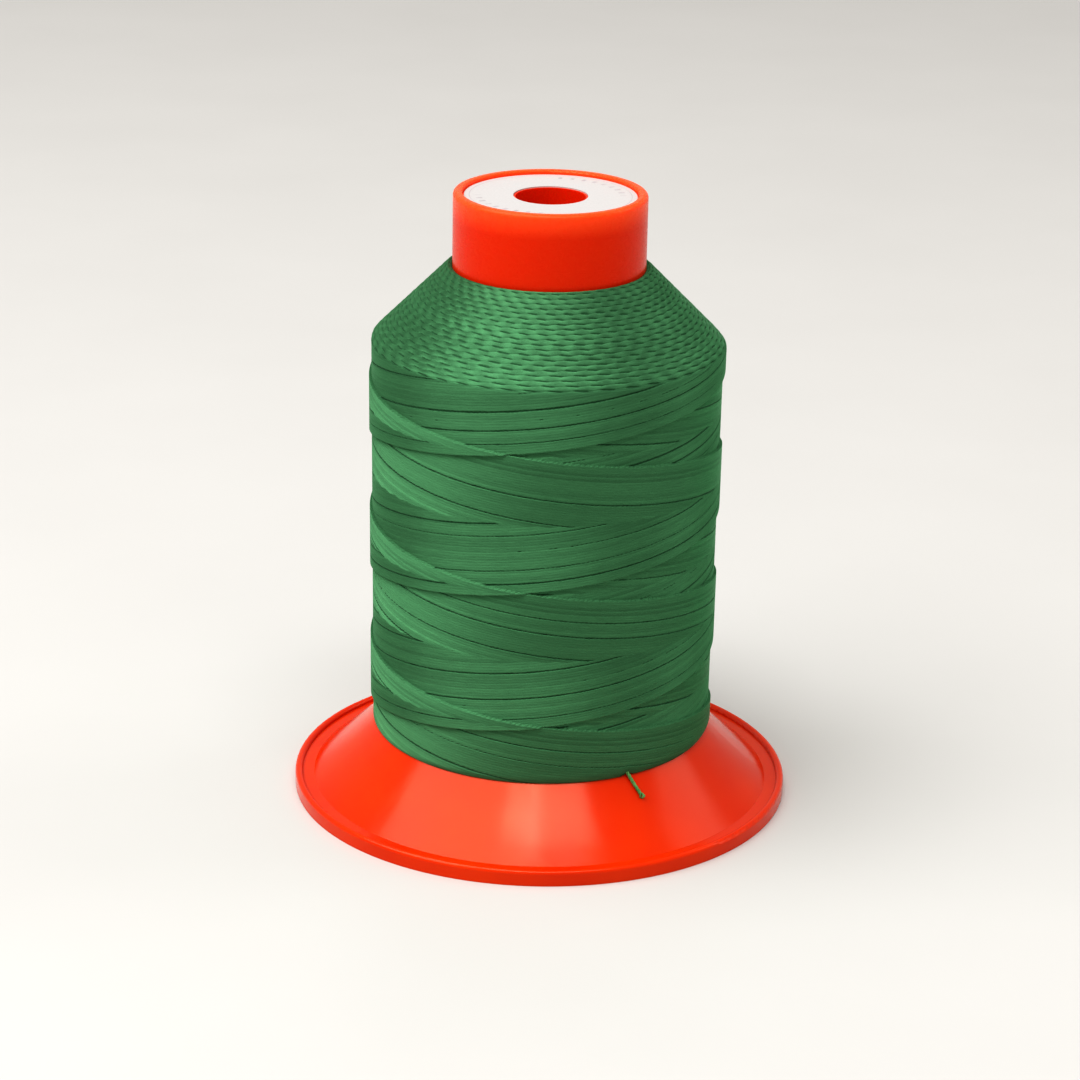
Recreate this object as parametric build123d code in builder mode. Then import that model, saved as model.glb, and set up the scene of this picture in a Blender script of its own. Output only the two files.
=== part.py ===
from build123d import *
from math import atan2, cos, hypot, pi, radians, sin, tan
import os

# Snap-foot spool of sewing thread, standing on its foot. Millimetres, +Z up.
# The origin is the centre of the foot's underside, on the surface that the spool stands on.
# Profiles are drawn as (radius, height) on the XZ plane and turned about Z.

# ---- driving dimensions ----
FIT = 0.05                # clearance between pieces that sit on each other

SPINDLE_R = 4.9           # hole for the thread stand's spindle, in the collar and in the foot
SLEEVE_R = 6.2            # outside of the two sleeves that hold that hole
LEAD_IN = 0.4             # chamfer at the mouths of the sleeves and of the barrel

FOOT_R = 36.0             # rim of the foot
RIM_H = 2.25              # top of the bead round the rim
BEAD_W = 1.1              # width of that bead
LEDGE_Z = 1.6             # flat ledge inside the bead
CONE_R = 33.2             # where the cone rises from the ledge
STEP_R = 23.3             # top of the visible cone, where the foot steps down under the tube
STEP_Z = 11.1
CONE_SAG = 0.3            # hollow of the cone's profile
FOOT_WALL = 1.4
CONTACT_R = 34.2          # inner edge of the ring that touches the table

SKIRT_R = 22.4            # rim of the tube's conical flange
SKIRT_WALL = 1.3
NIP_GAP = 0.62            # gap between flange and foot, which holds the thread end
SEAT_R = 14.2             # flat ring of the foot that the tube's lower end stands on
SEAT_WALL = 1.6           # thickness of that ring
SEAT_UNDER_R = 14.0       # outer edge of its underside
WALL_DIP_W = 0.6          # the foot's wall dips this far past the step, so that it stays one thickness
WALL_DIP_END = 1.6        # and is back under the cone this far past the step

NECK_R = 10.9             # neck of the foot, inside the barrel
NECK_WALL = 1.3
NECK_TOP_Z = 28.0
NECK_WEB = 1.5
NECK_SLEEVE = 7.5         # length of the foot's sleeve
SNAP_BEAD = 0.45          # how far the bead stands out of the neck
SNAP_BEAD_H = 1.6
SNAP_TRAVEL = 3.0         # how far the tube lifts before its lip meets the bead

BARREL_R = 13.0           # outside of the tube under the thread
BARREL_IN_R = 11.5
LIP_CLEARANCE = 0.08      # running fit of the barrel's lip on the neck
LIP_H = 4.0
BARREL_FOOT_R = 13.4      # outside of the barrel's lower end, under the flange

COLLAR_R = 13.56          # head of the tube, above the thread
COLLAR_LOW_Z = 77.2
TOP_Z = 88.95             # top of the rim round the label
RIM_FILLET = 0.6
RECESS_R = 12.25          # recess for the label
RECESS_Z = 88.2
TOP_WEB = 1.6
TOP_SLEEVE = 26.0         # length of the sleeve that hangs from the collar
RIB_COUNT = 4
RIB_THICK = 1.2
RIB_LOW_Z = 64.0

LABEL_R = 12.04
LABEL_HOLE_R = 5.2
LABEL_THICK = 0.18

PACK_LOW_R = 24.35        # lowest edge of the thread package
PACK_LOW_Z = 10.15
PACK_SIDE_R = 24.67       # where its side starts
PACK_SIDE_Z = 10.6
PACK_EDGE_R = 24.95       # edge between its side and its shoulder
PACK_EDGE_Z = 67.8
PACK_TOP_R = 14.05        # top of the shoulder
PACK_TOP_Z = 78.71
PACK_ROLL_Z = 78.2        # where the top rolls in to the collar
PACK_EDGE_FILLET = 1.0
POCKET_W = 7.5            # hollow that the locked thread end presses into the package's lower edge
POCKET_REACH = 1.0        # how far the cut for it runs past the package, outwards and downwards
POCKET_IN = 0.4           # how far it reaches in under the flange's rim
POCKET_LIP = 0.5          # how far above the start of the side it ends, on the outside

THREAD_D = 0.5
TAIL_AZIMUTH = -62.0      # where the locked thread end leaves the package
TAIL_TOP_Z = 12.0         # height at which it goes over the edge of the foot's step

# Locked thread end, as (radius, azimuth in degrees, height): out of the package's underside, round the
# gap between flange and foot, over the foot's step and down the cone.
THREAD_ROUTE = [
    (22.85, -160.0, 12.30),
    (23.05, -148.0, 10.85),
    (23.18, -130.0, 10.60),
    (23.20, -110.0, 10.55),
    (23.12, -91.0, 10.70),
    (22.95, -75.0, 10.95),
    (22.85, -66.8, 11.40),
    (23.60, TAIL_AZIMUTH, TAIL_TOP_Z),
    (24.80, -59.8, 10.05),
    (26.00, -57.9, 8.66),
    (27.00, -55.9, 7.62),
]

# ---- derived dimensions ----
SLOPE = (STEP_Z - LEDGE_Z) / (CONE_R - STEP_R)
SLANT = hypot(1.0, SLOPE)


def cone_z(radius):
    """Height of the straight cone through the ledge's inner edge and the step."""
    return STEP_Z + (STEP_R - radius) * SLOPE


def under_cone_z(radius, normal_offset):
    """Height of a cone parallel to that one, lower by an offset square to its surface."""
    return cone_z(radius) - normal_offset * SLANT


NEST_OFFSET = SKIRT_WALL + NIP_GAP
SEAT_Z = under_cone_z(SEAT_R, NEST_OFFSET)
BARREL_LOW_Z = SEAT_Z + FIT
LIP_TOP_Z = BARREL_LOW_Z + LIP_H
SNAP_BEAD_LOW_Z = LIP_TOP_Z + SNAP_TRAVEL + FIT
SLEEVE_LOW_Z = RECESS_Z - TOP_SLEEVE
NECK_SLEEVE_LOW_Z = NECK_TOP_Z - NECK_SLEEVE
WALL_DIP_Z = under_cone_z(STEP_R, NEST_OFFSET + FOOT_WALL)
CONE_TURN = atan2(STEP_Z - LEDGE_Z, CONE_R - STEP_R)
CONE_MID = (
    (CONE_R + STEP_R) / 2 - CONE_SAG * sin(CONE_TURN),
    (LEDGE_Z + STEP_Z) / 2 - CONE_SAG * cos(CONE_TURN),
)
UNDER_LOW = (CONE_R - FOOT_WALL * sin(CONE_TURN), LEDGE_Z - FOOT_WALL * cos(CONE_TURN))
PACK_GAP = FIT * SLANT
PACK_BORE = BARREL_R + FIT
COLLAR_BORE = COLLAR_R + FIT
POCKET_LOW_Z = PACK_LOW_Z - POCKET_REACH
POCKET_TOP_Z = TAIL_TOP_Z + THREAD_D


# ---- snap_foot: flared base, turned from one closed profile ----

with BuildPart() as snap_foot:
    with BuildSketch(Plane.XZ):
        with BuildLine():
            Polyline((CONTACT_R, 0), (FOOT_R, 0), (FOOT_R, RIM_H - BEAD_W / 2))
            ThreePointArc(
                (FOOT_R, RIM_H - BEAD_W / 2),
                (FOOT_R - BEAD_W / 2, RIM_H),
                (FOOT_R - BEAD_W, RIM_H - BEAD_W / 2),
            )
            Polyline((FOOT_R - BEAD_W, RIM_H - BEAD_W / 2), (FOOT_R - BEAD_W, LEDGE_Z), (CONE_R, LEDGE_Z))
            ThreePointArc((CONE_R, LEDGE_Z), CONE_MID, (STEP_R, STEP_Z))
            Polyline(
                (STEP_R, STEP_Z),
                (STEP_R, under_cone_z(STEP_R, NEST_OFFSET)),
                (SEAT_R, SEAT_Z),
                (NECK_R, SEAT_Z),
                (NECK_R, SNAP_BEAD_LOW_Z),
            )
            ThreePointArc(
                (NECK_R, SNAP_BEAD_LOW_Z),
                (NECK_R + SNAP_BEAD, SNAP_BEAD_LOW_Z + SNAP_BEAD_H / 2),
                (NECK_R, SNAP_BEAD_LOW_Z + SNAP_BEAD_H),
            )
            Polyline(
                (NECK_R, SNAP_BEAD_LOW_Z + SNAP_BEAD_H),
                (NECK_R, NECK_TOP_Z - LEAD_IN),
                (NECK_R - LEAD_IN, NECK_TOP_Z),
                (SPINDLE_R, NECK_TOP_Z),
                (SPINDLE_R, NECK_SLEEVE_LOW_Z + LEAD_IN),
                (SPINDLE_R + LEAD_IN, NECK_SLEEVE_LOW_Z),
                (SLEEVE_R, NECK_SLEEVE_LOW_Z),
                (SLEEVE_R, NECK_TOP_Z - NECK_WEB),
                (NECK_R - NECK_WALL, NECK_TOP_Z - NECK_WEB),
                (NECK_R - NECK_WALL, SEAT_Z - SEAT_WALL),
                (SEAT_UNDER_R, SEAT_Z - SEAT_WALL),
                (STEP_R, WALL_DIP_Z),
                (STEP_R + WALL_DIP_W, WALL_DIP_Z),
                (STEP_R + WALL_DIP_END, under_cone_z(STEP_R + WALL_DIP_END, FOOT_WALL)),
                UNDER_LOW,
                (CONTACT_R, UNDER_LOW[1]),
                (CONTACT_R, 0),
            )
        make_face()
    revolve(axis=Axis.Z)
snap_foot.part.label = "snap_foot"


# ---- winding_tube: collar, barrel, conical flange and spindle sleeve, moulded as one ----
with BuildPart() as winding_tube:
    with BuildSketch(Plane.XZ):
        with BuildLine():
            Polyline(
                (SPINDLE_R, RECESS_Z),
                (SPINDLE_R, SLEEVE_LOW_Z + LEAD_IN),
                (SPINDLE_R + LEAD_IN, SLEEVE_LOW_Z),
                (SLEEVE_R, SLEEVE_LOW_Z),
                (SLEEVE_R, RECESS_Z - TOP_WEB),
                (BARREL_IN_R, RECESS_Z - TOP_WEB),
                (BARREL_IN_R, LIP_TOP_Z),
                (NECK_R + LIP_CLEARANCE, LIP_TOP_Z),
                (NECK_R + LIP_CLEARANCE, BARREL_LOW_Z + LEAD_IN),
                (NECK_R + LIP_CLEARANCE + LEAD_IN, BARREL_LOW_Z),
                (BARREL_FOOT_R, BARREL_LOW_Z),
                (BARREL_FOOT_R, under_cone_z(BARREL_FOOT_R, SKIRT_WALL)),
                (SKIRT_R, under_cone_z(SKIRT_R, SKIRT_WALL)),
                (SKIRT_R, cone_z(SKIRT_R)),
                (BARREL_R, cone_z(BARREL_R)),
                (BARREL_R, COLLAR_LOW_Z),
                (COLLAR_R, COLLAR_LOW_Z + COLLAR_R - BARREL_R),
                (COLLAR_R, TOP_Z),
                (RECESS_R, TOP_Z),
                (RECESS_R, RECESS_Z),
                (SPINDLE_R, RECESS_Z),
            )
        make_face()
    revolve(axis=Axis.Z)
    with BuildSketch(Plane.XY.offset(RIB_LOW_Z)):
        with PolarLocations((SLEEVE_R + BARREL_IN_R) / 2, RIB_COUNT, start_angle=45):
            Rectangle(BARREL_IN_R - SLEEVE_R + 2 * FIT, RIB_THICK)
    extrude(amount=RECESS_Z - TOP_WEB - RIB_LOW_Z)
    top_edges = winding_tube.edges().group_by(Axis.Z)[-1].sort_by(SortBy.RADIUS)
    fillet(top_edges[-1], radius=RIM_FILLET)
    fillet(winding_tube.edges().group_by(Axis.Z)[-1].sort_by(SortBy.RADIUS)[0], radius=RIM_FILLET / 2)
winding_tube.part.label = "winding_tube"


# ---- top_label: paper ring in the collar's recess ----
with BuildPart() as top_label:
    with BuildSketch(Plane.XY.offset(RECESS_Z)):
        Circle(LABEL_R)
        Circle(LABEL_HOLE_R, mode=Mode.SUBTRACT)
    extrude(amount=LABEL_THICK)
top_label.part.label = "top_label"


# ---- thread_package: outer shape of the cross-wound thread, with the thread end's hollow ----
with BuildPart() as thread_package:
    with BuildSketch(Plane.XZ) as package_profile:
        with BuildLine():
            Polyline(
                (PACK_SIDE_R, PACK_SIDE_Z),
                (PACK_EDGE_R, PACK_EDGE_Z),
                (PACK_TOP_R, PACK_TOP_Z),
                (COLLAR_BORE, PACK_ROLL_Z),
                (COLLAR_BORE, COLLAR_LOW_Z + COLLAR_R - BARREL_R - FIT),
                (PACK_BORE, COLLAR_LOW_Z - FIT),
                (PACK_BORE, cone_z(PACK_BORE) + PACK_GAP),
                (PACK_LOW_R, PACK_LOW_Z),
                (PACK_SIDE_R, PACK_SIDE_Z),
            )
        make_face()
        edge_corner = package_profile.vertices().sort_by(Axis.X)[-1]
        fillet(edge_corner, radius=PACK_EDGE_FILLET)
    revolve(axis=Axis.Z)
    with BuildSketch(Plane.XZ.rotated((0, 0, TAIL_AZIMUTH))):
        with BuildLine():
            Polyline(
                (SKIRT_R - POCKET_IN, POCKET_LOW_Z),
                (SKIRT_R - POCKET_IN, POCKET_TOP_Z),
                (PACK_LOW_R, POCKET_TOP_Z),
                (PACK_SIDE_R + POCKET_REACH, PACK_SIDE_Z + POCKET_LIP),
                (PACK_SIDE_R + POCKET_REACH, POCKET_LOW_Z),
                (SKIRT_R - POCKET_IN, POCKET_LOW_Z),
            )
        make_face()
    extrude(amount=POCKET_W / 2, both=True, mode=Mode.SUBTRACT)
thread_package.part.label = "thread_package"


# ---- thread_end: the locked end of the thread ----
RUN_SHARE = 0.45          # share of the shorter run that the arc at a corner takes up


def bend_radii(points):
    """Radius of the tangent arc at each corner, as large as its two runs allow."""
    radii = []
    for before, corner, after in zip(points, points[1:], points[2:]):
        run_in = corner - before
        run_out = after - corner
        half_turn = radians(run_in.get_angle(run_out)) / 2
        radii.append(RUN_SHARE * min(run_in.length, run_out.length) / tan(half_turn))
    return radii


corners = [Vector(r * cos(radians(a)), r * sin(radians(a)), z) for r, a, z in THREAD_ROUTE]
radii = bend_radii(corners)
with BuildPart() as thread_end:
    with BuildLine() as thread_path:
        FilletPolyline(*corners, radius=radii)
    with BuildSketch(Plane(origin=corners[0], z_dir=corners[1] - corners[0])):
        Circle(THREAD_D / 2)
    sweep(path=thread_path.wires()[0])
thread_end.part.label = "thread_end"


# ---- output ----
path_length = thread_path.wires()[0].length
print("thread end radii", [round(r, 2) for r in radii])
print("thread end length", round(path_length, 2))
print("thread end volume", round(thread_end.part.volume, 3))
print("section times length", round(pi * THREAD_D**2 / 4 * path_length, 3))
print("seat", round(SEAT_Z, 3), "flange rim", round(cone_z(SKIRT_R), 3), "bead", round(SNAP_BEAD_LOW_Z, 3))

os.makedirs("parts", exist_ok=True)
for piece in (snap_foot, winding_tube, top_label, thread_package, thread_end):
    export_step(piece.part, f"parts/{piece.part.label}.step")
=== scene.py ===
import math

import bpy
import numpy as np
from mathutils import Matrix, Vector


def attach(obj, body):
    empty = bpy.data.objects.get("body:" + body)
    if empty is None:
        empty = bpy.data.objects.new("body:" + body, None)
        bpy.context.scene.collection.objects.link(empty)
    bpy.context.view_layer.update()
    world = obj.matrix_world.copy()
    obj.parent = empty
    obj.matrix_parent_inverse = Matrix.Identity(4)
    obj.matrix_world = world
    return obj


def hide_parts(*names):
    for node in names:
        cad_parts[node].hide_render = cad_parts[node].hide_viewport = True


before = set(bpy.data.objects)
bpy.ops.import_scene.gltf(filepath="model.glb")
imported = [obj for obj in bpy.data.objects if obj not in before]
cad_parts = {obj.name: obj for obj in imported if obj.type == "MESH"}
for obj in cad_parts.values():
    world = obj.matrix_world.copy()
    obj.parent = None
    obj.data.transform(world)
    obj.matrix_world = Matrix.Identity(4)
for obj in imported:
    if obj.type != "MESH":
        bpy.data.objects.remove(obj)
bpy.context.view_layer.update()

# Snap-foot spool of sewing thread. Sizes in this script are millimetres, as in the CAD model, and MM
# turns them into the frame's metres. Azimuths are degrees, counted from +X towards +Y.
MM = 0.001

# ---- driving dimensions, as in the CAD model ----
PACK_LOW = (24.35, 10.15)       # thread package outline, as (radius, height), from its lower edge
PACK_SIDE = (24.67, 10.6)
PACK_EDGE = (24.95, 67.8)
PACK_TOP = (14.05, 78.71)
PACK_ROLL = (13.62, 78.2)
PACK_BORE_R = 13.1
PACK_BORE_LOW_Z = 21.2
BORE_STEP = 0.1                 # height of a ring's bore where the ring's outside is lower than the bore
EDGE_FILLET = 1.0
TAIL_AZIMUTH = -60.6            # where the thread end comes over the edge of the foot's step
THREAD_ROUTE = [                # (radius, azimuth, height); the last four lie up to 1 mm off the CAD's
    (22.85, -160.0, 12.30),
    (23.05, -148.0, 10.85),
    (23.18, -130.0, 10.60),
    (23.20, -110.0, 10.55),
    (23.12, -91.0, 10.70),
    (22.95, -75.0, 10.95),
    (22.85, -66.8, 11.40),
    (23.60, TAIL_AZIMUTH, 12.00),
    (24.80, -59.1, 10.05),
    (26.00, -58.0, 8.66),
    (27.10, -57.1, 7.52),
]

# ---- thread end ----
PLIES = 3
PLY_OFFSET = 0.125              # a ply's centre off the thread's own
PLY_R = 0.135
PLY_LAY = 1.9                   # length of one turn of the plies
PLY_SIDES = 10
FRAY = 1.1                      # length over which the cut end opens
FRAY_SPREAD = 1.5               # how much further off the plies are at the cut end
FRAY_TURN = 0.6                 # how far each ply turns on from the one before it there, in radians
FRAY_SWELL = 0.25               # how much thicker a ply is there
TIP = 0.25                      # length of the narrowed tip of a ply
TIP_SHRINK = 0.35               # how much thinner the tip is

# ---- winding ----
WIND_PERIOD = 19.85             # height that a thread climbs in one turn
WIND_THREADS = 52               # threads side by side in one layer
CROSS_AZIMUTH = -95.5           # where the newest rising and the newest falling thread cross
CROSS_Z = 38.7
CROSS_DRIFT = 0.33              # degrees that the crossings shift for each millimetre downwards
LAYER_STEP = 0.36               # height of the step at the newest thread of either family
LAYER_TOP = 0.95                # share of that step by which the newest threads stand off the outline
THREAD_RELIEF = 0.034           # how far a thread stands out of the groove beside it
THREAD_TONE = 0.075             # spread of the threads' brightness
GROOVE_PAINTED_SHADE = 0.20              # how dark the painted shade in the grooves and the gaps is, from 0 to 1
GAP_PAINTED_SHADE = 0.66
GAP_DEPTH = 0.13                # depth of an open gap between two threads
GAP_SHARE = 0.70                # share of a thread's width that an open gap takes
PLY_TWIST = 14.0                # degrees that the filaments lie off the thread's own direction
FIBRE_LEAN = 1.9                # how many times the thread's climb the filaments lean
GAP_WAVES = (0.11, 0.27)        # how fast a gap opens and closes with height, in radians per millimetre
GAP_EDGE = (-0.9, 0.5)          # where on those waves it is closed, and fully open
HELIX = math.atan2(WIND_PERIOD, 2 * math.pi * PACK_EDGE[0])     # how steeply a thread climbs
FALLING_FIBRE = 100             # keeps the fibre patterns of the two directions and the rows apart
ROW_FIBRE = 200
FIBRE_JUMP = 7.3                # keeps the fibre patterns of two threads side by side apart

ROWS = 64                       # rows with a look of their own, more than the shoulder has
ROW_PITCH = 0.78                # rows on the shoulder, along the slant
ROW_TURNS = 46                  # turn-arounds in each row
ROW_RELIEF = 0.13
ROW_GAP = 0.34                  # widest opening between two rows, as a share of the pitch
ROW_SWAY = 0.08                 # how far a row's edge sways, as a share of the pitch
ROW_SHIFT = (2.3, 0.5)          # phase from one row to the next, as mean and spread in radians
ROW_TONE = 0.04                 # spread of the rows' brightness
LOOP_TONE = 0.13                # how much the brightness changes along a turn-around
ROW_TILT = 0.15                 # how much lower a row's far edge lies, as a share of the relief
ROW_CROWN = (0.45, 0.55)        # height of the narrowest row's crown, and what a full row adds to it
ROW_TOP = 0.9                   # height of a row's crown that lies on the outline
ROW_OPEN = -0.5                 # height in an opening
ROW_GROOVE = 0.45               # height under which painted shade darkens a row
ROW_GROOVE_PAINTED_SHADE = 0.28
ROW_OPEN_PAINTED_SHADE = 0.34
ROW_LEAN = -0.5                 # lean of the shoulder's filaments, as a share of the helix
SHOULDER_FALL = 0.7             # how much the shoulder's radius falls for each millimetre of slant

SIDE_MESH = (480, 0.09)         # mesh columns round the package, and the step along its outline
SHOULDER_MESH = (760, 0.06)
SEAM = -0.3                     # where the two meshes meet, along the slant from the shoulder's edge
SEAM_BLEND = (-0.45, -0.05)     # where the side's relief turns into the shoulder's
COLLAR_BLEND = (0.9, 0.05)      # how far under the outline's end the relief fades out
LOW_BLEND = (10.0, 11.6)        # heights between which it fades in

TAIL_PUSH = 0.35                # how far the package's lower edge is pushed up over the thread end
TAIL_PUSH_WIDTH = 1.6           # in degrees
TAIL_PUSH_OFF = 1.2
TAIL_PUSH_Z = (10.4, 12.6)      # heights between which that push fades out


def on_circle(radius, azimuth, height):
    """A point in metres from its radius, azimuth and height in millimetres and degrees."""
    turn = math.radians(azimuth)
    return Vector((radius * math.cos(turn), radius * math.sin(turn), height)) * MM


# ---- camera ----
CAMERA_PLACE = (0, -0.42488, 0.19483)       # metres
CAMERA_DOWN = 20.325                        # degrees
CAMERA_ROLL = 1.114
CAMERA_YAW = -0.075
CAMERA_LENS = 104.82
CAMERA_SENSOR = 36.0
CAMERA_NEAR = 0.01                          # metres


def add_camera():
    """The camera, in front of the spool and looking down at it, rolled a little."""
    pitch = math.radians(CAMERA_DOWN)
    roll = math.radians(CAMERA_ROLL)
    yaw = math.radians(CAMERA_YAW)
    ahead = math.cos(pitch)
    forward = Vector((math.sin(yaw) * ahead, math.cos(yaw) * ahead, -math.sin(pitch)))
    level = forward.cross(Vector((0, 0, 1))).normalized()
    upright = level.cross(forward)
    right = math.cos(roll) * level + math.sin(roll) * upright
    up = math.cos(roll) * upright - math.sin(roll) * level
    data = bpy.data.cameras.new("camera")
    data.sensor_width = CAMERA_SENSOR
    data.lens = CAMERA_LENS
    data.clip_start = CAMERA_NEAR
    camera = bpy.data.objects.new("camera", data)
    bpy.context.scene.collection.objects.link(camera)
    turn = Matrix((right, up, -forward)).transposed()
    camera.matrix_world = Matrix.Translation(CAMERA_PLACE) @ turn.to_4x4()
    bpy.context.scene.camera = camera


add_camera()


# ---- node helpers ----
class Nodes:
    """Short calls for building one material's node tree."""

    def __init__(self, name):
        self.material = bpy.data.materials.new(name)
        self.material.use_nodes = True
        self.tree = self.material.node_tree
        self.shader = self.tree.nodes["Principled BSDF"]

    def add(self, kind, inputs=(), **settings):
        """A node of that kind, with its settings, and its inputs set or linked by name or number."""
        node = self.tree.nodes.new(kind)
        for key, value in settings.items():
            setattr(node, key, value)
        for key, value in dict(inputs).items():
            self.set(node, key, value)
        return node

    def set(self, node, key, value):
        """Links a socket to an input, or sets the input's value."""
        if isinstance(value, bpy.types.NodeSocket):
            self.tree.links.new(value, node.inputs[key])
        else:
            node.inputs[key].default_value = value

    def math(self, operation, a, b=0.0):
        return self.add("ShaderNodeMath", {0: a, 1: b}, operation=operation).outputs[0]

    def vector(self, operation, a, b):
        return self.add("ShaderNodeVectorMath", {0: a, 1: b}, operation=operation).outputs[0]

    def attribute(self, name):
        return self.add("ShaderNodeAttribute", attribute_name=name)

    def noise(self, vector, scale, detail=2.0, roughness=0.5):
        inputs = {"Vector": vector, "Scale": scale, "Detail": detail, "Roughness": roughness}
        return self.add("ShaderNodeTexNoise", inputs).outputs["Fac"]

    def remap(self, value, low, high, new_low, new_high):
        inputs = {0: value, 1: low, 2: high, 3: new_low, 4: new_high}
        return self.add("ShaderNodeMapRange", inputs).outputs[0]

    def mix(self, share, a, b, blend="MIX"):
        node = self.add("ShaderNodeMix", data_type="RGBA", blend_type=blend)
        self.set(node, 0, share)
        self.set(node, 6, a)
        self.set(node, 7, b)
        return node.outputs[2]

    def bump(self, height, distance):
        """A normal bent by that height, which stands for the distance in millimetres."""
        inputs = {"Height": height, "Distance": distance * MM, "Strength": 0.5}
        return self.add("ShaderNodeBump", inputs).outputs[0]

    def flat_radius(self, place):
        """Distance of a point from the spool's axis."""
        flat = self.vector("MULTIPLY", place, (1, 1, 0))
        return self.add("ShaderNodeVectorMath", {0: flat}, operation="LENGTH").outputs["Value"]

    def position(self):
        """The point on the object in millimetres."""
        place = self.add("ShaderNodeTexCoord").outputs["Object"]
        return self.vector("MULTIPLY", place, (1000, 1000, 1000))


# ---- materials ----
THREAD_GREENS = ((0.074, 0.202, 0.100, 1), (0.110, 0.296, 0.146, 1))
# colour of the painted shade in the package's grooves and gaps
THREAD_SHADE = (0.010, 0.040, 0.018, 1)
THREAD_SHEEN = (0.30, 0.85, 0.45, 1)
THREAD_FUZZ = (0.45, 0.75, 0.5, 1)
# the loose thread's green, and a paler green painted in for light that comes through its plies
LOOSE_GREEN_AND_PAINTED_GLOW = ((0.055, 0.180, 0.060, 1), (0.160, 0.330, 0.120, 1))
FOOT_ORANGES = ((0.66, 0.040, 0.0003, 1), (0.58, 0.025, 0.0, 1))
FOOT_GLOSS = (0.16, 0.20)
FOOT_SHINE = 0.34
TUBE_ORANGES = ((0.68, 0.028, 0.0003, 1), (0.68, 0.028, 0.0003, 1))
TUBE_GLOSS = (0.26, 0.29)
TUBE_SHINE = 0.22
TUBE_PAINTED_GLOW = (0.95, 0.090, 0.018, 1)         # painted glow: a lighter colour for light that comes through the collar's thin rim
PAINTED_GLOW_Z = (85.5, 88.4)
PAINTED_GLOW_R = 10.5                               # the rim lies outside this, and the bore inside
PLASTIC_IOR = 1.49
PLASTIC_GLINT = (1.0, 0.78, 0.58, 1)
PLASTIC_GLOW = (1.0, 0.12, 0.02)            # how far each colour of light spreads inside
PLASTIC_GLOW_DEPTH = 1.2
PAPER_WHITES = ((0.49, 0.477, 0.47, 1), (0.455, 0.442, 0.435, 1))
LABEL_INK = (0.24, 0.19, 0.22, 1)
RING_R = 11.3                               # printed ring on the label
RING_HALF = 0.06
TICK_R = 10.1                               # printed ticks on the label
TICK_HALF = 0.45
TICK_WAVES = 36
FLOOR_PALES = ((0.52, 0.512, 0.496, 1), (0.55, 0.542, 0.526, 1))


def thread_material():
    """Bright filament thread: satin lines along the thread, with painted shade down in the grooves and
    gaps.
    """
    n = Nodes("thread_satin")
    fibre = n.attribute("fibre").outputs["Vector"]
    along_across = n.vector("MULTIPLY", fibre, (0.5, 5.0, 1.0))
    filament = n.noise(along_across, 1.0, 3.0, 0.6)
    ply = n.noise(n.vector("MULTIPLY", fibre, (1.6, 1.4, 1.0)), 1.0, 2.0)
    painted_shade = n.attribute("painted_shade").outputs["Fac"]
    tone = n.attribute("tone").outputs["Fac"]
    lit = n.mix(n.remap(filament, 0.3, 0.7, 0.0, 1.0), *THREAD_GREENS)
    grey = n.add("ShaderNodeCombineColor", {0: tone, 1: tone, 2: tone}).outputs[0]
    toned = n.mix(1.0, lit, grey, "MULTIPLY")
    # painted shade: the colour turns towards the shade colour in the grooves and gaps
    colour = n.mix(painted_shade, toned, THREAD_SHADE)
    roughness = n.remap(n.math("ADD", filament, ply), 0.6, 1.4, 0.52, 0.62)
    n.set(n.shader, "Base Color", colour)
    n.set(n.shader, "Roughness", roughness)
    n.set(n.shader, "Metallic", n.remap(painted_shade, 0.0, 1.0, 0.65, 0.0))
    n.set(n.shader, "Anisotropic", 0.98)
    n.set(n.shader, "Anisotropic Rotation", 0.25)
    n.set(n.shader, "Tangent", n.attribute("strand").outputs["Vector"])
    n.set(n.shader, "Specular IOR Level", n.remap(painted_shade, 0.0, 1.0, 0.35, 0.1))
    n.set(n.shader, "Specular Tint", THREAD_SHEEN)
    n.set(n.shader, "Sheen Weight", 0.12)
    n.set(n.shader, "Sheen Roughness", 0.4)
    n.set(n.shader, "Sheen Tint", THREAD_FUZZ)
    n.set(n.shader, "Normal", n.bump(filament, 0.04))
    return n.material


def thread_end_material():
    """The same thread, lying loose, painted paler in patches for light that comes through its plies."""
    n = Nodes("thread_loose")
    place = n.position()
    filament = n.noise(n.vector("MULTIPLY", place, (9, 9, 3)), 1.0, 3.0)
    patch = n.noise(place, 0.6, 2.0)
    lit = n.remap(n.math("ADD", filament, patch), 0.7, 1.3, 0.0, 1.0)
    n.set(n.shader, "Base Color", n.mix(lit, *LOOSE_GREEN_AND_PAINTED_GLOW))
    n.set(n.shader, "Roughness", n.remap(filament, 0.3, 0.7, 0.4, 0.6))
    n.set(n.shader, "Specular Tint", THREAD_SHEEN)
    n.set(n.shader, "Normal", n.bump(filament, 0.03))
    return n.material


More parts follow.
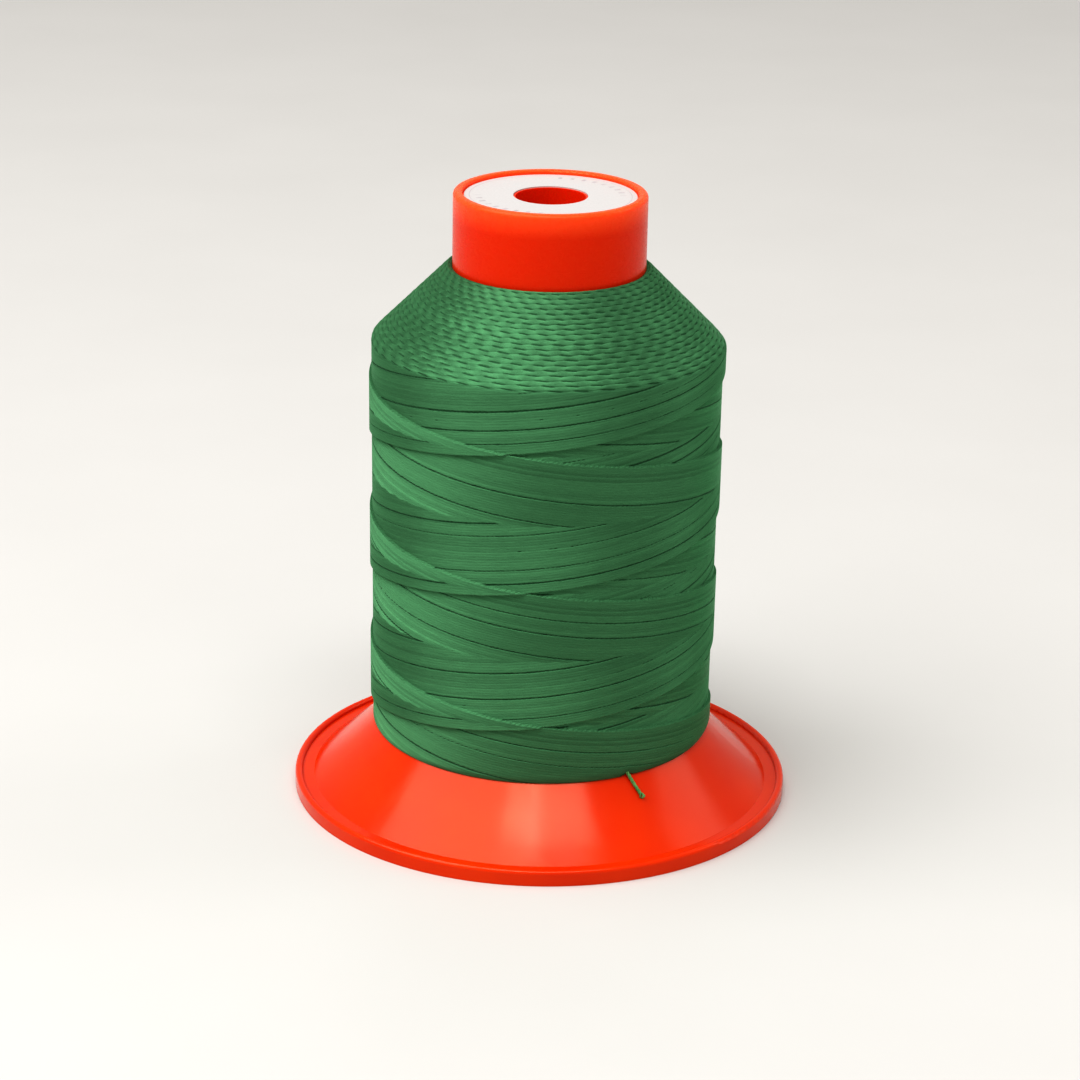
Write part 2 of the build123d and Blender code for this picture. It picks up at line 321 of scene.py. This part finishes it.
def plastic_material(name, colours, gloss, shine, painted_glow=None):
    """Moulded plastic that glows a little from inside, with faint flow marks and handling wear. It turns
    to the painted glow colour, if there is one, up at the collar's rim, for light that comes through the
    thin rim there."""
    n = Nodes(name)
    place = n.position()
    flow = n.noise(place, 0.06, 2.0)
    grain = n.noise(place, 0.8, 4.0, 0.6)
    scuff = n.noise(n.vector("MULTIPLY", place, (1, 1, 5)), 0.5, 4.0, 0.6)
    colour = n.mix(n.remap(flow, 0.35, 0.65, 0.0, 0.7), *colours)
    # painted glow: the collar's rim, high up and outside the bore, is coloured lighter for light that
    # comes through its thin wall
    if painted_glow:
        height = n.add("ShaderNodeSeparateXYZ", {0: place}).outputs[2]
        outside = n.math("GREATER_THAN", n.flat_radius(place), PAINTED_GLOW_R)
        painted_glow_share = n.math("MULTIPLY", n.remap(height, *PAINTED_GLOW_Z, 0.0, 1.0), outside)
        colour = n.mix(painted_glow_share, colour, painted_glow)
    roughness = n.remap(grain, 0.3, 0.7, *gloss)
    n.set(n.shader, "Base Color", colour)
    n.set(n.shader, "Roughness", n.math("ADD", roughness, n.remap(scuff, 0.55, 0.75, 0.0, 0.04)))
    n.set(n.shader, "IOR", PLASTIC_IOR)
    n.set(n.shader, "Specular IOR Level", shine)
    n.set(n.shader, "Specular Tint", PLASTIC_GLINT)
    n.set(n.shader, "Subsurface Weight", 0.25)
    n.set(n.shader, "Subsurface Radius", PLASTIC_GLOW)
    n.set(n.shader, "Subsurface Scale", PLASTIC_GLOW_DEPTH * MM)
    n.set(n.shader, "Normal", n.bump(n.noise(place, 0.25, 2.0), 0.05))
    return n.material


def paper_material():
    """Coated label paper with fine fibre, and a faint printed ring with two runs of ticks inside it."""
    n = Nodes("label_paper")
    place = n.position()
    radius = n.flat_radius(place)
    axes = n.add("ShaderNodeSeparateXYZ", {0: place}).outputs
    turn = n.math("ARCTAN2", axes[1], axes[0])
    fibre = n.noise(place, 3.0, 5.0, 0.7)
    worn = n.noise(place, 0.9, 3.0)
    off_ring = n.math("ABSOLUTE", n.math("SUBTRACT", radius, RING_R))
    off_ticks = n.math("ABSOLUTE", n.math("SUBTRACT", radius, TICK_R))
    ring = n.math("LESS_THAN", off_ring, RING_HALF)
    band = n.math("LESS_THAN", off_ticks, TICK_HALF)
    tick = n.math("GREATER_THAN", n.math("SINE", n.math("MULTIPLY", turn, TICK_WAVES)), 0.55)
    quarter = n.math("GREATER_THAN", n.math("SINE", n.math("MULTIPLY", turn, 2.0)), 0.1)
    marks = n.math("MULTIPLY", n.math("MULTIPLY", band, tick), quarter)
    ink = n.math("MULTIPLY", n.math("MAXIMUM", ring, marks), n.remap(worn, 0.35, 0.6, 0.20, 0.50))
    paper = n.mix(n.remap(fibre, 0.3, 0.7, 0.0, 1.0), *PAPER_WHITES)
    n.set(n.shader, "Base Color", n.mix(ink, paper, LABEL_INK))
    n.set(n.shader, "Roughness", n.remap(fibre, 0.3, 0.7, 0.42, 0.58))
    n.set(n.shader, "Normal", n.bump(fibre, 0.02))
    return n.material


def floor_material():
    """Plain pale worktop."""
    n = Nodes("pale_floor")
    place = n.position()
    n.set(n.shader, "Base Color", n.mix(n.noise(place, 0.02, 3.0), *FLOOR_PALES))
    n.set(n.shader, "Roughness", 0.55)
    return n.material


def wear(obj, material):
    """Puts one material on the object."""
    obj.data.materials.clear()
    obj.data.materials.append(material)


def paint_node(name, material):
    """Assigns a material to every slot of a CAD node."""
    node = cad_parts[name]
    for slot in node.material_slots:
        slot.link = "OBJECT"
        slot.material = material


# ---- locked thread end, a limp cord ----
def route_line():
    """Points along the route: a smooth curve with the route's points as control points."""
    data = bpy.data.curves.new("thread_end_route", "CURVE")
    data.dimensions = "3D"
    data.resolution_u = 48
    spline = data.splines.new("NURBS")
    spline.points.add(len(THREAD_ROUTE) - 1)
    for point, (radius, azimuth, height) in zip(spline.points, THREAD_ROUTE):
        point.co = (*on_circle(radius, azimuth, height), 1)
    spline.order_u = 3
    spline.use_endpoint_u = True
    route = bpy.data.objects.new("thread_end_route", data)
    bpy.context.scene.collection.objects.link(route)
    mesh = bpy.data.meshes.new_from_object(route)
    line = np.array([vertex.co[:] for vertex in mesh.vertices])
    bpy.data.objects.remove(route)
    bpy.data.curves.remove(data)
    bpy.data.meshes.remove(mesh)
    return line


def soft_step(value, low, high):
    """0 below low, 1 above high, and smooth between them."""
    share = np.clip((value - low) / (high - low), 0, 1)
    return share * share * (3 - 2 * share)


def carried_frames(line):
    """Two directions square to the line at each point, carried along it without twist."""
    ahead = np.gradient(line, axis=0)
    ahead /= np.linalg.norm(ahead, axis=1)[:, None]
    first = np.cross(ahead[0], (0, 0, 1))
    frames = []
    for direction in ahead:
        first = first - direction * first.dot(direction)
        first = first / np.linalg.norm(first)
        frames.append((first, np.cross(direction, first)))
    return np.array(frames)


def ring_faces(rows, columns):
    """Quads of a tube of that many rows of vertices, facing outwards."""
    low = np.arange(rows - 1)[:, None] * columns
    here = np.arange(columns)[None, :]
    beside = np.mod(here + 1, columns)
    quads = np.stack([low + here, low + beside, low + beside + columns, low + here + columns], axis=-1)
    return quads.reshape(-1, 4)


def add_thread_end(line, material):
    """The thread end: plies twisted round the line, which open a little at the cut."""
    frames = carried_frames(line)
    run = np.concatenate([[0], np.cumsum(np.linalg.norm(np.diff(line, axis=0), axis=1))]) / MM
    opened = soft_step(run, run[-1] - FRAY, run[-1])
    side = np.linspace(0, 2 * np.pi, PLY_SIDES, endpoint=False)
    points = []
    faces = []
    for ply in range(PLIES):
        turn = 2 * np.pi * (run / PLY_LAY + ply / PLIES) + FRAY_TURN * ply * opened
        offset = PLY_OFFSET * (1 + FRAY_SPREAD * opened) * MM
        aside = np.cos(turn)[:, None] * frames[:, 0] + np.sin(turn)[:, None] * frames[:, 1]
        centre = line + offset[:, None] * aside
        tip = soft_step(run, run[-1] - TIP, run[-1])
        radius = PLY_R * (1 + FRAY_SWELL * opened - TIP_SHRINK * tip) * MM
        ring = (np.cos(side)[None, :, None] * frames[:, None, 0]
                + np.sin(side)[None, :, None] * frames[:, None, 1])
        first = len(points) * len(line) * PLY_SIDES
        faces.extend((first + ring_faces(len(line), PLY_SIDES)).tolist())
        last = first + (len(line) - 1) * PLY_SIDES
        faces.append(list(range(first + PLY_SIDES - 1, first - 1, -1)))
        faces.append(list(range(last, last + PLY_SIDES)))
        points.append((centre[:, None] + radius[:, None, None] * ring).reshape(-1, 3))
    mesh = bpy.data.meshes.new("thread_end_loose")
    mesh.from_pydata(np.concatenate(points).tolist(), [], faces)
    mesh.polygons.foreach_set("use_smooth", [len(face) == 4 for face in faces])
    piece = bpy.data.objects.new("thread_end_loose", mesh)
    bpy.context.scene.collection.objects.link(piece)
    wear(piece, material)
    return piece


thread_line = route_line()
thread_end = add_thread_end(thread_line, thread_end_material())
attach(thread_end, "spool")
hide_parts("thread_end")


# ---- thread package: a height field on its outline ----
def outline(pitch):
    """The package's outline from its lower edge over the shoulder to the collar, evenly stepped: its
    points as (radius, height), the direction along it and the outward normal in that plane, and the
    distance along it from the shoulder's edge."""
    corners = np.array([PACK_LOW, PACK_SIDE, PACK_EDGE, PACK_TOP, PACK_ROLL])
    lengths = np.linalg.norm(np.diff(corners, axis=0), axis=1)
    stations = np.concatenate([[0], np.cumsum(lengths)])
    edge_at = stations[2]
    at = np.linspace(0, stations[-1], int(round(stations[-1] / pitch)) + 1)
    points = np.stack([np.interp(at, stations, corners[:, k]) for k in (0, 1)], axis=1)
    smooth = int(round(EDGE_FILLET / pitch))
    kernel = np.hanning(smooth * 2 + 3)
    kernel /= kernel.sum()
    half = len(kernel) // 2
    padded = np.vstack([
        points[0] + (points[0] - points[1]) * np.arange(half, 0, -1)[:, None],
        points,
        points[-1] + (points[-1] - points[-2]) * np.arange(1, half + 1)[:, None],
    ])
    points = np.stack([np.convolve(padded[:, k], kernel, "valid") for k in (0, 1)], axis=1)
    run = np.gradient(points, axis=0)
    run /= np.linalg.norm(run, axis=1)[:, None]
    normal = np.stack([run[:, 1], -run[:, 0]], axis=1)
    return points, run, normal, at - edge_at


class Family:
    """The threads of one winding direction, with their gaps and tones. climb is 1 or -1, first_gap is
    the newest thread with a gap beside it, and gap_runs bounds how many threads on the next one is."""

    def __init__(self, climb, seed, first_gap, gap_runs):
        draw = np.random.default_rng(seed)
        self.climb = climb
        self.tone = draw.normal(1.0, THREAD_TONE, WIND_THREADS)
        self.shift = draw.uniform(0, 2 * np.pi, (WIND_THREADS, 2))
        self.gap = np.zeros(WIND_THREADS)
        at = first_gap
        while at < WIND_THREADS:
            self.gap[at] = draw.uniform(0.55, 1.0)
            at += int(draw.integers(*gap_runs))

    def look(self, turn, height):
        """Age as an angle, 0 for the newest, thread number, place across the thread, and gap opening."""
        front = np.radians(CROSS_AZIMUTH + CROSS_DRIFT * (CROSS_Z - height))
        front = front + self.climb * 2 * np.pi * (height - CROSS_Z) / WIND_PERIOD
        age = np.mod(front - turn, 2 * np.pi)
        share = age / (2 * np.pi) * WIND_THREADS
        number = np.minimum(share.astype(int), WIND_THREADS - 1)
        across = share - number
        slow = np.sin(height * GAP_WAVES[0] + self.shift[number, 0])
        quick = np.sin(height * GAP_WAVES[1] + self.shift[number, 1])
        opening = self.gap[number] * soft_step(slow + 0.6 * quick, *GAP_EDGE)
        return age, number, across, opening


def thread_section(across, gap):
    """Height over the groove, from 0 to 1, across a thread whose far side loses the share gap to a gap."""
    place = np.clip(across / (1 - gap), 0, 1)
    return np.sqrt(np.clip(1 - (2 * place - 1) ** 2, 0, 1))


def side_winding(turn, height):
    """The cross-wound side: height over the outline, filaments' lean, painted shade in grooves and gaps,
    tone, and place across the fibres."""
    rising = Family(climb=1, seed=7, first_gap=3, gap_runs=(3, 7))
    falling = Family(climb=-1, seed=23, first_gap=8, gap_runs=(6, 13))
    age_r, number_r, across_r, open_r = rising.look(turn, height)
    age_f, number_f, across_f, open_f = falling.look(turn, height)
    base = -LAYER_STEP * (age_r + age_f) / (2 * np.pi) + LAYER_STEP * LAYER_TOP
    gap_r = GAP_SHARE * open_r
    gap_f = GAP_SHARE * open_f
    rising_top = number_r < number_f
    in_gap = np.where(rising_top, across_r > 1 - gap_r, across_f > 1 - gap_f)
    shown_rising = np.where(in_gap, ~rising_top, rising_top)
    section_r = thread_section(across_r, gap_r)
    section_f = thread_section(across_f, gap_f)
    relief = THREAD_RELIEF * np.where(shown_rising, section_r, section_f)
    lift = base + relief - GAP_DEPTH * in_gap
    groove = 1 - np.where(shown_rising, section_r, section_f)
    # painted shade: darker towards the bottom of each groove, and much darker in an open gap
    painted_shade = np.clip(GROOVE_PAINTED_SHADE * groove**2 + GAP_PAINTED_SHADE * in_gap, 0, 1)
    tone = np.where(shown_rising, rising.tone[number_r], falling.tone[number_f])
    lean = FIBRE_LEAN * HELIX * np.where(shown_rising, 1, -1)
    across = np.where(shown_rising, number_r + across_r, FALLING_FIBRE + number_f + across_f)
    return lift, lean, painted_shade, tone, across


def shoulder_winding(turn, slant):
    """The shoulder: one row of turn-arounds for each layer, with openings set off from row to row.
    It returns what side_winding does."""
    row = slant / ROW_PITCH
    nearest = np.floor(row)
    draw = np.random.default_rng(41)
    phases = np.cumsum(draw.normal(*ROW_SHIFT, ROWS))
    tones = draw.normal(1.0, ROW_TONE, ROWS)
    widths = draw.uniform(0.55, 1.0, ROWS)
    loops = draw.uniform(0, 2 * np.pi, ROWS)

    def edge(number):
        """Place of the edge under a row, half the opening there, and how steeply the edge runs."""
        slot = np.mod(number, ROWS).astype(int)
        uneven = 0.7 * np.sin(3 * turn + number) + 0.4 * np.sin(7 * turn - 2 * number)
        wave = ROW_TURNS * turn + phases[slot] + uneven
        patch = 0.75 + 0.25 * np.sin(4 * turn + 2.1 * number)
        opening = ROW_GAP * widths[slot] * patch * soft_step(np.sin(wave), -0.5, 0.6)
        return number + ROW_SWAY * np.cos(wave), 0.5 * opening, -ROW_SWAY * np.sin(wave)

    lift = np.full(turn.shape, ROW_OPEN)
    tone = np.ones(turn.shape)
    across = np.zeros(turn.shape)
    slope = np.zeros(turn.shape)
    for near in (-1, 0, 1):
        number = nearest + near
        low, low_half, low_run = edge(number)
        high, high_half, high_run = edge(number + 1)
        width = high - high_half - low - low_half
        place = (row - low - low_half) / width
        inside = (place > 0) & (place < 1)
        crown = thread_section(place, 0) * (ROW_CROWN[0] + ROW_CROWN[1] * width)
        slot = np.mod(number, ROWS).astype(int)
        lift = np.where(inside, crown - ROW_TILT * place, lift)
        loop = ROW_TURNS * turn + phases[slot] + loops[slot]
        tone = np.where(inside, tones[slot] * (1 + LOOP_TONE * np.sin(loop)), tone)
        across = np.where(inside, ROW_FIBRE + number * 2 + place, across)
        slope = np.where(inside, low_run + (high_run - low_run) * place, slope)
    groove = np.clip(1 - lift / ROW_GROOVE, 0, 1)
    # painted shade: darker towards the bottom of a row's groove, and in an opening between rows
    painted_shade = ROW_GROOVE_PAINTED_SHADE * groove**2 + ROW_OPEN_PAINTED_SHADE * (lift == ROW_OPEN)
    steep = np.arctan(slope * ROW_PITCH * ROW_TURNS / (PACK_EDGE[0] - SHOULDER_FALL * slant))
    return ROW_RELIEF * (lift - ROW_TOP), steep + ROW_LEAN * HELIX, painted_shade, tone, across


def tail_lift(turn):
    """How far the lower edge is pushed up where the locked thread end comes out from under it."""
    off = np.degrees(turn) - (TAIL_AZIMUTH + TAIL_PUSH_OFF)
    off = np.mod(off + 180, 360) - 180
    return TAIL_PUSH * np.exp(-((off / TAIL_PUSH_WIDTH) ** 2))


def wound_surface(columns, pitch):
    """Points, normals, attributes and slant places of the package's outer surface, by row and column."""
    points, run, normal, slant = outline(pitch)
    turn = np.linspace(-np.pi, np.pi, columns, endpoint=False) - np.pi / 2
    turn = np.mod(turn + np.pi, 2 * np.pi) - np.pi
    turns, heights = np.meshgrid(turn, points[:, 1])
    slants = np.broadcast_to(slant[:, None], turns.shape)
    side = side_winding(turns, heights)
    shoulder = shoulder_winding(turns, slants)
    share = soft_step(slants, *SEAM_BLEND)
    on_shoulder = share > 0.5
    lift = side[0] * (1 - share) + shoulder[0] * share
    lift = lift * soft_step(slants, slants.max() + COLLAR_BLEND[1], slants.max() - COLLAR_BLEND[0])
    lift = lift * soft_step(heights, *LOW_BLEND)
    lean, painted_shade, tone, across = (np.where(on_shoulder, b, a) for a, b in zip(side[1:], shoulder[1:]))
    radius = points[:, 0][:, None] + lift * normal[:, 0][:, None]
    height = points[:, 1][:, None] + lift * normal[:, 1][:, None]
    height = height + tail_lift(turns) * soft_step(-heights, -TAIL_PUSH_Z[1], -TAIL_PUSH_Z[0])
    place = np.stack([radius * np.cos(turns), radius * np.sin(turns), height], axis=-1)
    ahead = np.roll(place, -1, axis=1) - np.roll(place, 1, axis=1)
    up = np.gradient(place, axis=0)
    facing = np.cross(ahead, up)
    facing /= np.linalg.norm(facing, axis=-1)[..., None]
    angle = lean - math.radians(PLY_TWIST)
    round_way = np.stack([-np.sin(turns), np.cos(turns), np.zeros_like(turns)], axis=-1)
    up_way = np.stack([
        run[:, 0][:, None] * np.cos(turns),
        run[:, 0][:, None] * np.sin(turns),
        np.broadcast_to(run[:, 1][:, None], turns.shape),
    ], axis=-1)
    strand = round_way * np.cos(angle)[..., None] + up_way * np.sin(angle)[..., None]
    along = radius * turns * np.cos(angle) + height * np.sin(angle)
    fibre = np.stack([along, across, np.floor(across) * FIBRE_JUMP], axis=-1)
    return place * MM, facing, {"strand": strand, "fibre": fibre, "painted_shade": painted_shade, "tone": tone}, slant


def bore_ring(height, turn):
    """One ring of points on the package's bore."""
    ring = [PACK_BORE_R * np.cos(turn), PACK_BORE_R * np.sin(turn), np.full(turn.shape, height)]
    return np.stack(ring, axis=-1)


def add_winding(name, surface, first, last, low_bore, high_bore, material):
    """One closed ring of the package, from row first to row last, closed through the bore."""
    place, facing, extra = surface[:3]
    columns = place.shape[1]
    turn = np.arctan2(place[first, :, 1], place[first, :, 0])
    bottom = bore_ring(low_bore, turn) * MM
    top = bore_ring(high_bore, turn) * MM
    stacked = np.concatenate([bottom[None], place[first:last + 1], top[None]])
    inward = np.stack([-np.cos(turn), -np.sin(turn), np.zeros_like(turn)], axis=-1)
    normals = np.concatenate([inward[None], facing[first:last + 1], inward[None]])
    rows = len(stacked)
    quads = ring_faces(rows, columns)
    here = np.arange(columns)
    beside = np.mod(here + 1, columns)
    final = (rows - 1) * columns
    closing = np.stack([final + here, final + beside, beside, here], axis=-1)
    quads = np.concatenate([quads, closing])
    mesh = bpy.data.meshes.new(name)
    mesh.vertices.add(rows * columns)
    mesh.vertices.foreach_set("co", stacked.reshape(-1).astype(np.float32))
    mesh.loops.add(len(quads) * 4)
    mesh.loops.foreach_set("vertex_index", quads.reshape(-1).astype(np.int32))
    mesh.polygons.add(len(quads))
    mesh.polygons.foreach_set("loop_start", np.arange(0, len(quads) * 4, 4, dtype=np.int32))
    mesh.update(calc_edges=True)
    mesh.polygons.foreach_set("use_smooth", np.ones(len(quads), bool))
    for key, values in extra.items():
        part = values[first:last + 1]
        whole = np.concatenate([part[:1], part, part[-1:]])
        kind, field = ("FLOAT_VECTOR", "vector") if whole.ndim == 3 else ("FLOAT", "value")
        attribute = mesh.attributes.new(key, kind, "POINT")
        attribute.data.foreach_set(field, whole.reshape(-1).astype(np.float32))
    mesh.normals_split_custom_set_from_vertices(normals.reshape(-1, 3).astype(np.float32))
    piece = bpy.data.objects.new(name, mesh)
    bpy.context.scene.collection.objects.link(piece)
    wear(piece, material)
    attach(piece, "spool")
    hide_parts("thread_package")
    return piece


def add_package(material):
    """The thread package, in stacked rings that meet row on row."""
    side = wound_surface(*SIDE_MESH)
    shoulder = wound_surface(*SHOULDER_MESH)
    side_rows = int(np.searchsorted(side[3], SEAM))
    shoulder_rows = (int(np.searchsorted(shoulder[3], side[3][side_rows])), len(shoulder[3]) - 1)
    rings = [("wound_side", side, 0, side_rows, 4), ("wound_shoulder", shoulder, *shoulder_rows, 3)]
    for name, surface, first, last, count in rings:
        heights = surface[0][:, :, 2].mean(axis=1) / MM
        cuts = [int(cut) for cut in np.linspace(first, last, count + 1)]
        for number, (low, high) in enumerate(zip(cuts, cuts[1:])):
            low_bore = max(heights[low], PACK_BORE_LOW_Z + BORE_STEP * number)
            high_bore = max(heights[high], PACK_BORE_LOW_Z + BORE_STEP * (number + 1))
            add_winding(f"{name}_{number + 1}", surface, low, high, low_bore, high_bore, material)


add_package(thread_material())

# ---- plastic and label on the CAD pieces ----
paint_node("snap_foot", plastic_material("foot_plastic", FOOT_ORANGES, FOOT_GLOSS, FOOT_SHINE))
paint_node("winding_tube", plastic_material(
    "tube_plastic", TUBE_ORANGES, TUBE_GLOSS, TUBE_SHINE, TUBE_PAINTED_GLOW))
paint_node("top_label", paper_material())


# ---- floor and light, in metres ----
FLOOR_HALF = 3.0
FLOOR_Z = -0.02 * MM            # just under the foot, which stands on it without sharing its plane
WORLD_COLOUR = (1.0, 0.97, 0.93, 1)
WORLD_STRENGTH = 0.45
LIGHT_AIM = Vector((0, 0, 0.045))
SOFT_LIGHTS = [                 # name, place, size, and power in watts
    ("overhead", (0.08, -0.50, 1.05), (0.72, 0.30), 3.9),
    ("strip_top", (-0.03, -0.50, 0.98), (0.09, 0.35), 0.4),
    ("fill_right", (0.88, 0.25, 0.65), (0.40, 0.60), 1.1),
    ("key_left", (-0.54, -0.19, 0.985), (1.0, 0.95), 10.0),
]


def add_floor():
    """A plain pale floor under and behind the spool."""
    data = bpy.data.meshes.new("floor")
    corners = [(x * FLOOR_HALF, y * FLOOR_HALF, FLOOR_Z) for x, y in ((-1, -1), (1, -1), (1, 1), (-1, 1))]
    data.from_pydata(corners, [], [(0, 1, 2, 3)])
    floor = bpy.data.objects.new("floor", data)
    bpy.context.scene.collection.objects.link(floor)
    wear(floor, floor_material())


def add_soft_light(name, place, size, power):
    """A rectangular softbox at place, aimed at the middle of the spool."""
    data = bpy.data.lights.new(name, "AREA")
    data.shape = "RECTANGLE"
    data.size, data.size_y = size
    data.energy = power
    light = bpy.data.objects.new(name, data)
    light.location = place
    light.rotation_euler = (LIGHT_AIM - Vector(place)).to_track_quat("-Z", "Y").to_euler()
    bpy.context.scene.collection.objects.link(light)


def add_world():
    """Even pale surroundings."""
    world = bpy.data.worlds.new("studio")
    world.use_nodes = True
    background = world.node_tree.nodes["Background"]
    background.inputs["Color"].default_value = WORLD_COLOUR
    background.inputs["Strength"].default_value = WORLD_STRENGTH
    bpy.context.scene.world = world


add_floor()
add_world()
for soft_light in SOFT_LIGHTS:
    add_soft_light(*soft_light)
bpy.context.scene.view_settings.view_transform = "Standard"
bpy.context.scene.view_settings.look = "High Contrast"
